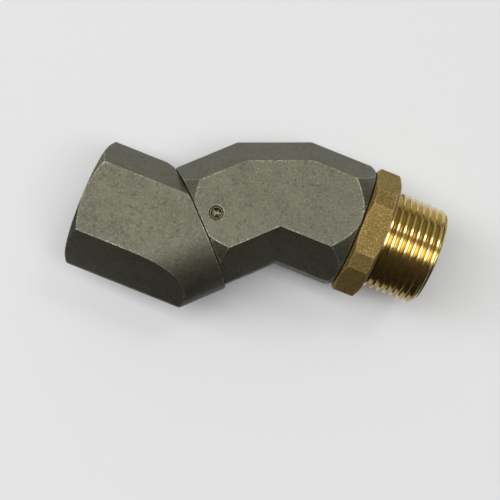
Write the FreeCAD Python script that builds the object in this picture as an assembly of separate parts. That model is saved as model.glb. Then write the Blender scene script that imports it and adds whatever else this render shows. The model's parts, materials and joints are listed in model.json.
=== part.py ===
"""Fuel swivel fitting: two 45 degree castings and a brass outlet, joined by two ball-race swivels."""
import FreeCAD, Part
import math
import os

from FreeCAD import Vector

# Driving dimensions, in millimetres and degrees

# Bends of the two castings, and the slope of the bevels along their flats
elbow_bend = 45.0
inlet_bend = 45.0
bevel_angle = 60.0

# Taper pipe thread, three-quarter inch size
thread_od = 26.67
thread_pitch = 25.4 / 14
thread_taper = 1 / 32
thread_small_pitch_radius = 12.29
thread_port_pitch_radius = 12.56
thread_height = 0.8 * thread_pitch
thread_flat = 0.07
thread_half_angle = 30.0

# Flow passage and the wall of the spigot round it
flow_bore = 17.0
spigot_wall = 3.5
socket_wall = 4.0
port_wall = 2.665

# Clearances
running_clearance = 0.05
side_clearance = 0.05
screw_clearance = 0.02

# Ball race
ball_diameter = 2.381
ball_spacing = 1.05
race_clearance = 0.05

# Seals and rings on the spigot, in order from the seam inwards
seal_depth = 1.5
seal_height = 2.5
seal_lip_width = 0.7
race_land = 1.25
groove_land = 0.85
guide_width = 1.2
guide_height = 0.75
guide_split = 0.5
backup_width = 0.9
ring_width = 1.75
ring_height = 1.4
washer_thickness = 0.7
washer_play = 0.1

# Castings
elbow_width = 32.6
elbow_side_height = 7.54
inlet_width = 33.8
inlet_side_height = 5.4
crown_height = 13.6
elbow_inlet_web = 0.83
elbow_outlet_web = 1.83
inlet_round_reach = 17.25
port_knee = 10.0
stem_knee = 1.3
passage_overrun = 2.0
cutter_overrun = 1.0

# Turned ends of the castings: radius at the face and growth of the radius for each millimetre back
elbow_inlet_end_radius = 16.6
elbow_outlet_end_radius = 15.95
elbow_end_growth = 0.52
inlet_seam_end_radius = 16.9
inlet_seam_growth = 1.75
port_end_radius = 15.9
port_end_growth = 1.43

# Gaps seen at the two seams
inlet_gap = 0.3
outlet_gap = 0.5

# Female port
port_counterbore_depth = 2.0
port_counterbore_clearance = 0.265
port_mouth_chamfer = 0.5
port_thread_turns = 7
drill_point_angle = 59.0

# Inlet stem, screwed into the inlet body
stem_shank_radius = 13.2
stem_shank_length = 4.8
stem_shank_recess = 0.2
stem_seal_height = 1.5
stem_seal_radius = 11.3
stem_seal_groove = 1.0
driver_slot_width = 2.5
driver_slot_depth = 1.2

# Outlet stem
hex_across_flats = 31.75
hex_flat_width = 12.8
hex_length = 6.8
hex_turn = 5.5
hex_chamfer_inset = 0.25
hex_chamfer_growth = 1.73
shank_length = 1.9
male_thread_turns = 7
bore_mouth_chamfer = 1.3

# Ball plug, a small socket screw
plug_diameter = 3.5
plug_recess = 0.25
plug_tip_gap = 0.15
plug_socket = 2.0
plug_socket_depth = 1.3
plug_edge_chamfer = 0.15
plug_hole_chamfer = 0.12

# Values worked out from them

flow_radius = flow_bore / 2
socket_radius = flow_radius + spigot_wall
spigot_radius = socket_radius - running_clearance
half_thickness = max(socket_radius + socket_wall, thread_od / 2 + port_wall)
reach = 4 * half_thickness

race_radius = ball_diameter / 2 + race_clearance
race_at = seal_depth + race_land + race_radius
guide_from = race_at + race_radius + groove_land
guide_to = guide_from + guide_width + 2 * side_clearance
main_from = guide_to + groove_land
main_to = main_from + backup_width + ring_width + 3 * side_clearance
second_from = main_to + groove_land
second_to = second_from + ring_width + 2 * side_clearance
spigot_length = second_to + groove_land
socket_depth = spigot_length + washer_play + washer_thickness

guide_groove_radius = spigot_radius - guide_height
ring_groove_radius = socket_radius - ring_height - 2 * running_clearance
ring_centre_radius = (socket_radius + ring_groove_radius) / 2
seal_counterbore_radius = socket_radius + seal_height

half_bend = elbow_bend / 2
mitre_run = socket_radius * math.tan(math.radians(half_bend))
elbow_inlet_arm = socket_depth + mitre_run + elbow_inlet_web
elbow_outlet_arm = socket_depth + mitre_run + elbow_outlet_web

stem_depth = stem_shank_length + stem_shank_recess + side_clearance
inlet_setback = stem_depth + stem_knee
port_thread_length = port_thread_turns * thread_pitch
port_depth = port_counterbore_depth + port_thread_length
port_length = port_depth + port_knee

male_thread_length = male_thread_turns * thread_pitch
outlet_hex_end = outlet_gap + hex_length
outlet_shank_end = outlet_hex_end + shank_length
outlet_end = outlet_shank_end + male_thread_length
shank_radius = thread_od / 2

inlet_angle = half_bend
outlet_angle = 180 - half_bend
port_angle = half_bend - inlet_bend

bevel_slope = math.tan(math.radians(bevel_angle))


# Helpers

def direction(angle):
    """Unit vector in the plan at an angle from +X."""
    return Vector(math.cos(math.radians(angle)), math.sin(math.radians(angle)), 0)


def placed(shape, origin, angle):
    """Shape made along +X, turned in plan, moved to an origin on the axis plane and lifted off the floor."""
    moved = shape.copy()
    moved.rotate(Vector(0, 0, 0), Vector(0, 0, 1), angle)
    moved.translate(origin + Vector(0, 0, half_thickness))
    return moved


def bar(section, start, end):
    """Straight bar along +X from an outline of (side, height) points."""
    points = [Vector(start, side, height) for side, height in section]
    face = Part.Face(Part.makePolygon(points + points[:1]))
    return face.extrude(Vector(end - start, 0, 0))


def turned(profile):
    """Solid turned about +X from an outline of (along, radius) points."""
    points = [Vector(along, radius, 0) for along, radius in profile]
    face = Part.Face(Part.makePolygon(points + points[:1]))
    return face.revolve(Vector(0, 0, 0), Vector(1, 0, 0), 360)


def tube(start, end, inner, outer):
    """Plain ring about +X."""
    return turned([(start, inner), (start, outer), (end, outer), (end, inner)])


def rod(start, end, radius):
    """Plain cylinder about +X."""
    return Part.makeCylinder(radius, end - start, Vector(start, 0, 0), Vector(1, 0, 0))


def oval_ring(along, radius, width, height):
    """Ring of oval section about +X, as a squeezed rubber ring has."""
    wide = width > height
    long_axis = Vector(1, 0, 0) if wide else Vector(0, 1, 0)
    major = max(width, height) / 2
    minor = min(width, height) / 2
    centre = Vector(along, radius, 0)
    cross_axis = Vector(0, 0, 1).cross(long_axis)
    ellipse = Part.Ellipse(centre + long_axis * major, centre + cross_axis * minor, centre)
    face = Part.Face(Part.Wire(ellipse.toShape()))
    return face.revolve(Vector(0, 0, 0), Vector(1, 0, 0), 360)


def race_groove():
    """Round groove that each half of a ball race has."""
    return Part.makeTorus(socket_radius, race_radius, Vector(race_at, 0, 0), Vector(1, 0, 0))


def end_trim(face_radius, growth, length):
    """Turned envelope that leaves a cone on the end of a casting, with its face at 0 and the rest along +X."""
    cone_length = (reach - face_radius) / growth
    outline = [(0, 0), (0, face_radius), (cone_length, reach)]
    back = max(length, cone_length + cutter_overrun)
    return turned(outline + [(back, reach), (back, 0)])


def bevel_inset(side_height):
    """How far the bevel runs in over a casting, from its upright side to its flat."""
    return (half_thickness - side_height / 2) / bevel_slope


def casting_section(width, side_height):
    """Section of a casting: top and bottom flats, upright sides and the bevels between them."""
    side = width / 2
    flat = side - bevel_inset(side_height)
    drop = side_height / 2
    right = [(flat, half_thickness), (side, drop), (side, -drop), (flat, -half_thickness)]
    left = [(-across, height) for across, height in reversed(right)]
    return right + left


# Elbow body

def elbow_arm(angle, toward):
    """One straight run of the elbow, cut off at the mitre plane."""
    section = casting_section(elbow_width, elbow_side_height)
    run = placed(bar(section, -reach, reach), Vector(0, 0, 0), angle)
    low = Vector(-reach if toward < 0 else 0, -reach, -reach)
    return run.common(Part.makeBox(reach, 2 * reach, 2 * reach, low))


def crown_cut():
    """Slab along X that cuts the outer corner of the bend to a short flat crown with the same bevels."""
    crown_flat = crown_height - bevel_inset(elbow_side_height)
    drop = elbow_side_height / 2
    upper = [(-reach, half_thickness), (crown_flat, half_thickness), (crown_height, drop)]
    lower = [(across, -height) for across, height in reversed(upper)]
    return placed(bar(upper + lower, -reach, reach), Vector(0, 0, 0), 0)


def socket_cut():
    """Everything that is cut out of one end of the elbow, with the seam at 0."""
    bore = rod(-cutter_overrun, socket_depth, socket_radius)
    counterbore = rod(-cutter_overrun, seal_depth, seal_counterbore_radius)
    return bore.fuse([counterbore, race_groove()])


def plug_hole(side):
    """Loading hole for the balls, from the flat down to the race, on the flat of the given side."""
    up = Vector(0, 0, side)
    radius = plug_diameter / 2 + screw_clearance
    hole = Part.makeCylinder(radius, half_thickness - flow_radius, Vector(race_at, 0, 0) + up * flow_radius, up)
    sink_from = half_thickness - plug_hole_chamfer
    sink = Part.makeCone(radius, radius + 2 * plug_hole_chamfer, 2 * plug_hole_chamfer,
                         Vector(race_at, 0, 0) + up * sink_from, up)
    return hole.fuse(sink)


def elbow_seam(angle):
    """Centre of one of the elbow's end faces, on the axis plane."""
    arm = elbow_inlet_arm if angle == inlet_angle else elbow_outlet_arm
    return direction(angle) * -arm


def elbow_body():
    arms = elbow_arm(inlet_angle, -1).fuse(elbow_arm(-half_bend, 1)).removeSplitter()
    body = arms.common(crown_cut())
    ends = [(inlet_angle, elbow_inlet_end_radius, 1), (outlet_angle, elbow_outlet_end_radius, -1)]
    for angle, face_radius, plug_side in ends:
        seam = elbow_seam(angle)
        body = body.common(placed(end_trim(face_radius, elbow_end_growth, reach), seam, angle))
        passage = rod(0, seam.Length + passage_overrun, flow_radius)
        cuts = socket_cut().fuse([passage, plug_hole(plug_side)])
        body = body.cut(placed(cuts, seam, angle))
    return body


# Inlet body

def round_nose():
    """Slab along the inlet swivel axis: flat on the inside of the bend and half round on the outside."""
    centre = half_thickness - inlet_round_reach
    top = [Vector(0, reach, half_thickness), Vector(0, centre, half_thickness)]
    bottom = [Vector(0, centre, -half_thickness), Vector(0, reach, -half_thickness)]
    nose = Part.Arc(top[1], Vector(0, centre - half_thickness, 0), bottom[0])
    edges = [Part.LineSegment(top[0], top[1]), nose, Part.LineSegment(bottom[0], bottom[1]),
             Part.LineSegment(bottom[1], top[0])]
    face = Part.Face(Part.Wire([edge.toShape() for edge in edges]))
    return face.extrude(Vector(-2 * reach, 0, 0))


def port_cut():
    """Female taper thread from the mouth at 0 inwards, with each turn cut as a ring."""
    counterbore_radius = thread_od / 2 + port_counterbore_clearance
    outer_start = counterbore_radius + port_mouth_chamfer + cutter_overrun
    profile = [(-cutter_overrun, 0), (-cutter_overrun, outer_start),
               (port_mouth_chamfer, counterbore_radius), (port_counterbore_depth, counterbore_radius)]
    minor_radius = thread_port_pitch_radius - thread_height / 2
    for turn in range(port_thread_turns):
        start = port_counterbore_depth + turn * thread_pitch
        small = minor_radius - start * thread_taper
        profile += thread_groove(start, small, small + thread_height)
    last_radius = minor_radius - port_depth * thread_taper
    drill_run = (last_radius - flow_radius) / math.tan(math.radians(drill_point_angle))
    profile += [(port_depth, last_radius), (port_depth + drill_run, flow_radius)]
    inner_end = port_length + passage_overrun
    return turned(profile + [(inner_end, flow_radius), (inner_end, 0)])


def thread_groove(start, land_radius, groove_radius):
    """Outline of one turn of thread, from the land it starts on to the groove and back."""
    flank = abs(groove_radius - land_radius) * math.tan(math.radians(thread_half_angle))
    first = start + thread_flat
    return [(start, land_radius), (first, land_radius), (first + flank, groove_radius),
            (start + thread_pitch - flank, groove_radius)]


def inlet_knee():
    """Point where the two axes of the inlet body cross, on the axis plane."""
    return direction(inlet_angle) * -(elbow_inlet_arm + inlet_gap + inlet_setback)


def port_mouth():
    """Centre of the female port's face, on the axis plane."""
    return inlet_knee() - direction(port_angle) * port_length


def inlet_seam():
    """Centre of the inlet body's face at the seam, on the axis plane."""
    return direction(inlet_angle) * -(elbow_inlet_arm + inlet_gap)


def inlet_body():
    section = casting_section(inlet_width, inlet_side_height)
    run = placed(bar(section, 0, port_length + reach), port_mouth(), port_angle)
    body = run.common(placed(round_nose(), inlet_seam(), inlet_angle))
    body = body.common(placed(end_trim(port_end_radius, port_end_growth, 2 * reach), port_mouth(), port_angle))
    seam_trim = end_trim(inlet_seam_end_radius, inlet_seam_growth, 2 * reach)
    body = body.common(placed(seam_trim, inlet_seam(), inlet_angle + 180))
    stem_hole = rod(-cutter_overrun, stem_depth, stem_shank_radius + screw_clearance)
    stem_passage = rod(0, inlet_setback + passage_overrun, flow_radius)
    body = body.cut(placed(stem_hole.fuse(stem_passage), inlet_seam(), inlet_angle + 180))
    return body.cut(placed(port_cut(), port_mouth(), port_angle))


# Stems

def spigot():
    """Solid spigot from the seam at 0 to its tip, with the grooves for the balls and the rings."""
    body = rod(0, spigot_length, spigot_radius)
    outer = socket_radius + cutter_overrun
    grooves = [tube(main_from, main_to, ring_groove_radius, outer),
               tube(second_from, second_to, ring_groove_radius, outer), race_groove()]
    return body.cut(tube(guide_from, guide_to, guide_groove_radius, outer).fuse(grooves))


def driver_slots():
    """Slot across the tip of the inlet stem, for the tool that screws it in."""
    low = Vector(spigot_length - driver_slot_depth, -socket_radius, -driver_slot_width / 2)
    return Part.makeBox(driver_slot_depth + cutter_overrun, 2 * socket_radius, driver_slot_width, low)


def inlet_stem():
    shank_from = -(inlet_gap + stem_depth - side_clearance)
    shank_to = -(inlet_gap + stem_shank_recess)
    neck = rod(shank_to, 0, spigot_radius)
    shank = rod(shank_from, shank_to, stem_shank_radius)
    body = spigot().fuse([neck, shank]).removeSplitter()
    inner = stem_seal_radius - stem_seal_height / 2 - side_clearance
    outer = stem_seal_radius + stem_seal_height / 2 + side_clearance
    groove = tube(shank_from, shank_from + stem_seal_groove, inner, outer)
    passage = rod(shank_from - cutter_overrun, spigot_length + cutter_overrun, flow_radius)
    return body.cut(groove.fuse([passage, driver_slots()]))


def wrench_hex():
    """Wrench hexagon with its six corners cut off flat and both ends chamfered."""
    half_flat = hex_flat_width / 2
    inner = hex_across_flats / 2
    corner = math.hypot(inner, half_flat)
    half_angle = math.degrees(math.atan2(half_flat, inner))
    section = []
    for side in range(6):
        for edge in (-half_angle, half_angle):
            turn = math.radians(60 * side + edge + hex_turn)
            section.append((corner * math.sin(turn), corner * math.cos(turn)))
    body = bar(section, 0, hex_length)
    trim = end_trim(inner - hex_chamfer_inset, hex_chamfer_growth, reach)
    mirrored = trim.mirror(Vector(hex_length / 2, 0, 0), Vector(1, 0, 0))
    body = body.common(trim).common(mirrored)
    body.translate(Vector(-outlet_hex_end, 0, 0))
    return body


def male_thread():
    """Plain shank by the hexagon and the taper thread out to the free end, with each turn cut as a ring."""
    profile = [(-outlet_hex_end, 0), (-outlet_hex_end, shank_radius), (-outlet_shank_end, shank_radius)]
    for turn in range(male_thread_turns):
        start = turn * thread_pitch
        from_tip = male_thread_length - start
        crest = min(shank_radius, thread_small_pitch_radius + thread_height / 2 + from_tip * thread_taper)
        root = thread_small_pitch_radius - thread_height / 2 + from_tip * thread_taper
        groove = thread_groove(start, crest, root)
        profile += [(-outlet_shank_end - along, radius) for along, radius in groove]
    tip_radius = thread_small_pitch_radius - thread_height / 2
    return turned(profile + [(-outlet_end, tip_radius), (-outlet_end, 0)])


def outlet_stem():
    neck = rod(-outlet_gap, 0, spigot_radius)
    body = spigot().fuse([neck, wrench_hex(), male_thread()]).removeSplitter()
    start = -outlet_end - cutter_overrun
    passage = rod(start, spigot_length + cutter_overrun, flow_radius)
    chamfer_end = -outlet_end + bore_mouth_chamfer
    mouth = turned([(start, 0), (start, flow_radius + bore_mouth_chamfer + cutter_overrun),
                    (chamfer_end, flow_radius), (chamfer_end, 0)])
    return body.cut(passage.fuse(mouth))


# Balls, plugs, seals and rings

def balls():
    """Full ring of balls; as many as fit round the race with a little room between them."""
    count = int(2 * math.pi * socket_radius / (ball_diameter * ball_spacing))
    ring = []
    for index in range(count):
        turn = 2 * math.pi * (index + 0.5) / count
        centre = Vector(race_at, socket_radius * math.sin(turn), socket_radius * math.cos(turn))
        ring.append(Part.makeSphere(ball_diameter / 2, centre))
    return Part.makeCompound(ring)


def ball_plug(side):
    """Socket screw in the loading hole, standing just clear of the balls."""
    up = Vector(0, 0, side)
    low = socket_radius + ball_diameter / 2 + plug_tip_gap
    high = half_thickness - plug_recess
    radius = plug_diameter / 2
    base = Vector(race_at, 0, 0)
    screw = Part.makeCylinder(radius, high - low - plug_edge_chamfer, base + up * low, up)
    top = Part.makeCone(radius, radius - plug_edge_chamfer, plug_edge_chamfer,
                        base + up * (high - plug_edge_chamfer), up)
    corner = plug_socket / 2 / math.cos(math.radians(30))
    points = []
    for edge in range(6):
        turn = math.radians(60 * edge)
        points.append(base + Vector(corner * math.cos(turn), corner * math.sin(turn), 0)
                      + up * (high - plug_socket_depth))
    socket = Part.Face(Part.makePolygon(points + points[:1])).extrude(up * (plug_socket_depth + cutter_overrun))
    return screw.fuse(top).removeSplitter().cut(socket)


def dust_seal(gap):
    """Wiper in the counterbore at the seam, with a lip that reaches half across the gap."""
    inner = socket_radius
    outer = seal_counterbore_radius - side_clearance
    back = seal_depth - side_clearance
    lip_middle = (inner + outer) / 2
    profile = [(0, inner), (0, lip_middle - seal_lip_width), (-gap / 2, lip_middle),
               (-gap / 2, lip_middle + seal_lip_width), (0, outer), (back, outer), (back, inner)]
    return turned(profile)


def guide_ring():
    """Bearing band in the first groove, split so that it can be sprung over the spigot."""
    start = guide_from + side_clearance
    inner = guide_groove_radius + running_clearance / 2
    outer = spigot_radius + running_clearance / 2
    band = tube(start, start + guide_width, inner, outer)
    low = Vector(start - cutter_overrun, -guide_split / 2, inner - cutter_overrun)
    split = Part.makeBox(guide_width + 2 * cutter_overrun, guide_split, guide_height + 2 * cutter_overrun, low)
    return band.cut(split)


def backup_ring():
    """Flat ring that keeps the main ring from being squeezed out towards the balls."""
    start = main_from + side_clearance
    return tube(start, start + backup_width, ring_groove_radius + running_clearance, spigot_radius)


def main_ring():
    middle = main_to - side_clearance - ring_width / 2
    return oval_ring(middle, ring_centre_radius, ring_width, ring_height)


def second_ring():
    middle = second_to - side_clearance - ring_width / 2
    return oval_ring(middle, ring_centre_radius, ring_width, ring_height)


def thrust_washer():
    """Low-friction washer on the floor of the socket."""
    outer = socket_radius - running_clearance
    return tube(socket_depth - washer_thickness, socket_depth, flow_radius + running_clearance, outer)


def stem_seal():
    """Rubber ring squeezed between the inlet stem and the floor of its hole."""
    width = stem_seal_groove
    middle = -(inlet_gap + stem_depth - side_clearance) + width / 2 - side_clearance / 2
    return oval_ring(middle, stem_seal_radius, width - side_clearance, stem_seal_height)


def swivel_pieces(name, angle, gap, plug_side):
    """The pieces that one swivel holds, placed in their end of the elbow."""
    pieces = {
        "balls": balls(),
        "ball_plug": ball_plug(plug_side),
        "dust_seal": dust_seal(gap),
        "guide_ring": guide_ring(),
        "backup_ring": backup_ring(),
        "main_o_ring": main_ring(),
        "second_o_ring": second_ring(),
        "thrust_washer": thrust_washer(),
    }
    seam = elbow_seam(angle)
    return {name + "_" + piece: placed(shape, seam, angle) for piece, shape in pieces.items()}


def all_pieces():
    pieces = {
        "inlet_body": inlet_body(),
        "elbow_body": elbow_body(),
        "inlet_stem": placed(inlet_stem(), elbow_seam(inlet_angle), inlet_angle),
        "inlet_stem_seal": placed(stem_seal(), elbow_seam(inlet_angle), inlet_angle),
        "outlet_stem": placed(outlet_stem(), elbow_seam(outlet_angle), outlet_angle),
    }
    pieces.update(swivel_pieces("inlet", inlet_angle, inlet_gap, 1))
    pieces.update(swivel_pieces("outlet", outlet_angle, outlet_gap, -1))
    return pieces


os.makedirs("parts", exist_ok=True)
for node, shape in all_pieces().items():
    shape.exportStep("parts/" + node + ".step")
    box = shape.BoundBox
    print(node, "solids", len(shape.Solids), "valid", shape.isValid(), "volume", round(shape.Volume, 1),
          "box", [round(value, 2) for value in (box.XMin, box.YMin, box.ZMin, box.XMax, box.YMax, box.ZMax)])
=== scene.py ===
"""Fuel swivel fitting: the finish of its castings, its brass stem, its ball races and its seals."""

import json
import math

import bmesh
import bpy
from bpy.props import FloatProperty, FloatVectorProperty, IntProperty, PointerProperty
from mathutils import Matrix, Vector, kdtree


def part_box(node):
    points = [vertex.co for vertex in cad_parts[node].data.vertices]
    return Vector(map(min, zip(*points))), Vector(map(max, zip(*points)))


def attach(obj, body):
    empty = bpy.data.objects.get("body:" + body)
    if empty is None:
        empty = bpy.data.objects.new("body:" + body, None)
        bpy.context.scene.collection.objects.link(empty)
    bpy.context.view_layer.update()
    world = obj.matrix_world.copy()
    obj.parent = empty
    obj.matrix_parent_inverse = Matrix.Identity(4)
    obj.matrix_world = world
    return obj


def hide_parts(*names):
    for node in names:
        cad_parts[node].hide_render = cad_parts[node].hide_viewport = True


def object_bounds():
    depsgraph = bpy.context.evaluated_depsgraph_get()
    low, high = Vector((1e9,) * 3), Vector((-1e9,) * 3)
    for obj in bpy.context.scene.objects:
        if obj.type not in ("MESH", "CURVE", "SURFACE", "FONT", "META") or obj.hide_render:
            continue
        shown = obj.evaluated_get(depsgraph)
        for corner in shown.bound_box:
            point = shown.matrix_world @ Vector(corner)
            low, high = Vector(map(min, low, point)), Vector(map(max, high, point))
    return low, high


bl_info = {
    "name": "Fuel swivel fitting",
    "version": (1, 0, 0),
    "blender": (4, 5, 0),
    "location": "View3D > Sidebar > Swivel",
    "description": "Builds the visible pieces of a fuel swivel fitting around its solids",
    "category": "Object",
}

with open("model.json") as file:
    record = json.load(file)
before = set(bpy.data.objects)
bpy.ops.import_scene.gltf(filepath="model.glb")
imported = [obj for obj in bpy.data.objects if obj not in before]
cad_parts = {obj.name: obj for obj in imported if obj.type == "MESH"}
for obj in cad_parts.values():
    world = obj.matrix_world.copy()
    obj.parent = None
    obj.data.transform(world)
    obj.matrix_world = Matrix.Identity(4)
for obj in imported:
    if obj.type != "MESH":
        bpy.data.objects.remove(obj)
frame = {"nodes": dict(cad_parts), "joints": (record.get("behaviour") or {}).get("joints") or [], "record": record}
cad_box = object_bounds()

MM = 0.001
FULL_TURN = 2 * math.pi


# Places that come from the frame

def joint(name):
    """What the frame says of a joint."""
    return next(row for row in frame["joints"] if row["name"] == name)


def mount(name):
    """What the frame says of a mount."""
    return next(row for row in frame["record"]["mounts"] if row["name"] == name)


def axis_frame(origin, along):
    """Local axes with X along a direction in the plan, Z up, and the origin at a point."""
    forward = Vector(along).normalized()
    up = Vector((0, 0, 1))
    turn = Matrix((forward, up.cross(forward), up)).transposed()
    return Matrix.Translation(Vector(origin)) @ turn.to_4x4()


def swivel_frame(name):
    """Axes of a swivel, at its seam, with X towards the middle of the elbow."""
    row = joint(name)
    along = Vector(row["axis"])
    middle = sum(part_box("elbow_body"), Vector()) / 2
    if along.dot(middle - Vector(row["pos_m"])) < 0:
        along = -along
    return axis_frame(row["pos_m"], along)


def port_frame():
    """Axes of the female port, at the middle of its counterbore, with X into the casting."""
    row = mount("inlet_port")
    return axis_frame(row["pos_m"], -Vector(row["axis"]))


def shank_frame():
    """Axes of the male thread, at the middle of the plain shank, with X out of the fitting."""
    row = mount("outlet_thread")
    return axis_frame(row["pos_m"], row["axis"])


INLET = swivel_frame("inlet_swivel")
OUTLET = swivel_frame("outlet_swivel")
PORT = port_frame()
SHANK = shank_frame()
PORT_RADIUS = mount("inlet_port")["dims"]["r_mm"] * MM
SHANK_RADIUS = mount("outlet_thread")["dims"]["r_mm"] * MM
SHANK_LENGTH = mount("outlet_thread")["dims"]["length_mm"] * MM
COUNTERBORE = mount("inlet_port")["dims"]["length_mm"] * MM
# A taper pipe thread loses 1 in 16 on its diameter
TAPER = 1 / 32
SMOOTH_ANGLE = math.radians(26)
# Millimetres from a rounded edge up to which its distance is held
WEAR_AND_HIGHLIGHT_REACH = 3.0
# Radius in metres that no thread reaches
NO_CHAMFER = 1.0


# Sizes and colours that a user would change

def linear(hex_colour):
    """Linear red, green and blue of an sRGB hex colour."""
    channels = [int(hex_colour[start:start + 2], 16) / 255 for start in (0, 2, 4)]
    return tuple(c / 12.92 if c <= 0.04045 else ((c + 0.055) / 1.055) ** 2.4 for c in channels)


def length(name, description, millimetres):
    return FloatProperty(name=name, description=description, default=millimetres * MM, unit="LENGTH",
                         precision=5)


def colour(name, description, hex_colour):
    return FloatVectorProperty(name=name, description=description, default=linear(hex_colour),
                               subtype="COLOR", min=0, max=1)


class SwivelSizes(bpy.types.PropertyGroup):
    casting_edge: length("Casting edge", "Rounding of the castings' edges", 0.32)
    brass_edge: length("Brass edge", "Rounding of the brass stem's edges", 0.14)
    # The grid holds the edge distance for the wear and for the painted edge highlight
    grid: length("Grid", "Widest face of a worked mesh, in which the wear is held", 0.9)
    pitch: length("Thread pitch", "Pitch of the taper pipe thread, 14 turns to the inch", 25.4 / 14)
    male_depth: length("Male thread depth", "From crest to root of the male thread", 1.15)
    female_depth: length("Female thread depth", "From crest to root of the female thread", 1.25)
    female_radius: length("Female thread radius", "Radius inside the crests at the port's mouth", 11.74)
    flow_radius: length("Passage radius", "Radius of the passage", 8.5)
    bore_chamfer: length("Bore chamfer", "Chamfer at the mouth of the outlet's bore", 1.3)
    ball: length("Ball diameter", "Diameter of a ball of the races", 2.381)
    race_radius: length("Race radius", "Radius of the circle that the balls' centres lie on", 12.0)
    plug: length("Plug diameter", "Diameter of the socket screw that closes a loading hole", 3.5)
    plug_socket: length("Plug socket", "Width across flats of the plug's socket", 2.1)
    plug_rim: length("Plug rim", "Diameter of the countersink round the plug's socket", 2.6)
    turns: IntProperty(name="Thread turns", description="Turns of thread, male and female", default=7, min=1)
    balls: IntProperty(name="Balls", description="Balls in one race", default=30, min=3)


class SwivelColours(bpy.types.PropertyGroup):
    casting: colour("Casting", "Blasted face of the castings", "6c6a5b")
    casting_dark: colour("Casting pits", "Dark pits and stains of the castings", "4b4b3e")
    casting_light: colour("Casting grains", "Bright grains of the castings", "8e8c7b")
    # This colour is both rubbed bare metal and a painted highlight along the edges
    casting_worn: colour("Casting wear", "Metal that shows where an edge has been rubbed", "b0ae9c")
    brass: colour("Forged brass", "Skin of the hexagon", "967f47")
    brass_turned: colour("Turned brass", "Fresh brass of the thread and the spigot", "d6c188")
    brass_dark: colour("Brass stain", "Brown stain on the brass", "7a6038")
    rubber: colour("Seal rubber", "Rubber of the sealing rings", "1d1c1b")
    wiper: colour("Wiper rubber", "Rubber of the dust seals", "47201a")
    floor: colour("Floor", "Pale floor", "e1e1e4")


def sizes():
    return bpy.context.scene.swivel_sizes


def colours():
    return bpy.context.scene.swivel_colours


# Materials

def add(tree, kind, links=None, **settings):
    """Adds a node with its settings; links gives each input a value or another node's output.
    Inputs 1 and 2 of a map range are the limits that come in, and 3 and 4 those that go out. Input 0 of a
    colour mix is the share, and 6 and 7 are the colours."""
    node = tree.nodes.new(kind)
    for name, value in settings.items():
        setattr(node, name, value)
    for key, source in (links or {}).items():
        if isinstance(source, bpy.types.NodeSocket):
            tree.links.new(source, node.inputs[key])
        else:
            node.inputs[key].default_value = source
    return node


def start_material(name):
    """An empty material, its node tree and its object coordinates."""
    material = bpy.data.materials.new(name)
    material.use_nodes = True
    tree = material.node_tree
    tree.nodes.clear()
    return material, tree, add(tree, "ShaderNodeTexCoord").outputs["Object"]


def end_material(tree, **inputs):
    """The surface shader, with names of inputs written with underscores."""
    links = {name.replace("_", " "): value for name, value in inputs.items()}
    shader = add(tree, "ShaderNodeBsdfPrincipled", links)
    add(tree, "ShaderNodeOutputMaterial", {"Surface": shader.outputs["BSDF"]})


def rgba(value):
    return (*value, 1.0)


def per_size(millimetres):
    """Scale of a noise whose grains are that far apart."""
    return 1 / (millimetres * MM)


def blasted_cast_aluminium():
    """Gravity-cast aluminium, bead blasted and chromated: a dull olive grey with fine bright and dark
    grains, faint cloudy stains, and edges that are partly rubbed bare and partly a painted highlight."""
    material, tree, place = start_material("blasted_cast_aluminium")
    tone = colours()
    cloud = add(tree, "ShaderNodeTexNoise", {"Vector": place, "Scale": per_size(5.0), "Detail": 4.0,
                                             "Roughness": 0.6}).outputs["Fac"]
    # Blasting leaves a finer grain than this; it is drawn as coarse as it needs to show
    grain = add(tree, "ShaderNodeTexNoise", {"Vector": place, "Scale": per_size(0.42), "Detail": 3.0,
                                             "Roughness": 0.7}).outputs["Fac"]
    pit = add(tree, "ShaderNodeTexNoise", {"Vector": place, "Scale": per_size(0.9), "Detail": 2.0,
                                           "Roughness": 0.5}).outputs["Fac"]
    stained = add(tree, "ShaderNodeMapRange", {0: cloud, 1: 0.35, 2: 0.75, 3: 0.0, 4: 0.45}).outputs[0]
    bright = add(tree, "ShaderNodeMapRange", {0: grain, 1: 0.52, 2: 0.75, 3: 0.0, 4: 0.75}).outputs[0]
    dark = add(tree, "ShaderNodeMapRange", {0: pit, 1: 0.45, 2: 0.25, 3: 0.0, 4: 0.7}).outputs[0]
    # Lighter edges: partly rubbed bare metal, partly a painted highlight along every outer edge
    worn_and_highlight = edge_wear(tree, place, grain, 0.3)
    base = rgba(tone.casting)
    for share, over in ((stained, tone.casting_dark), (bright, tone.casting_light),
                        (dark, tone.casting_dark), (worn_and_highlight, tone.casting_worn)):
        base = add(tree, "ShaderNodeMix", {0: share, 6: base, 7: rgba(over)}, data_type="RGBA").outputs[2]
    rough = add(tree, "ShaderNodeMapRange", {0: grain, 1: 0.3, 2: 0.7, 3: 0.62, 4: 0.5}).outputs[0]
    bump = add(tree, "ShaderNodeBump", {"Height": grain, "Strength": 0.55, "Distance": 0.06 * MM}).outputs[0]
    end_material(tree, Base_Color=base, Metallic=0.85, Roughness=rough, Normal=bump)
    return material


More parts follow.
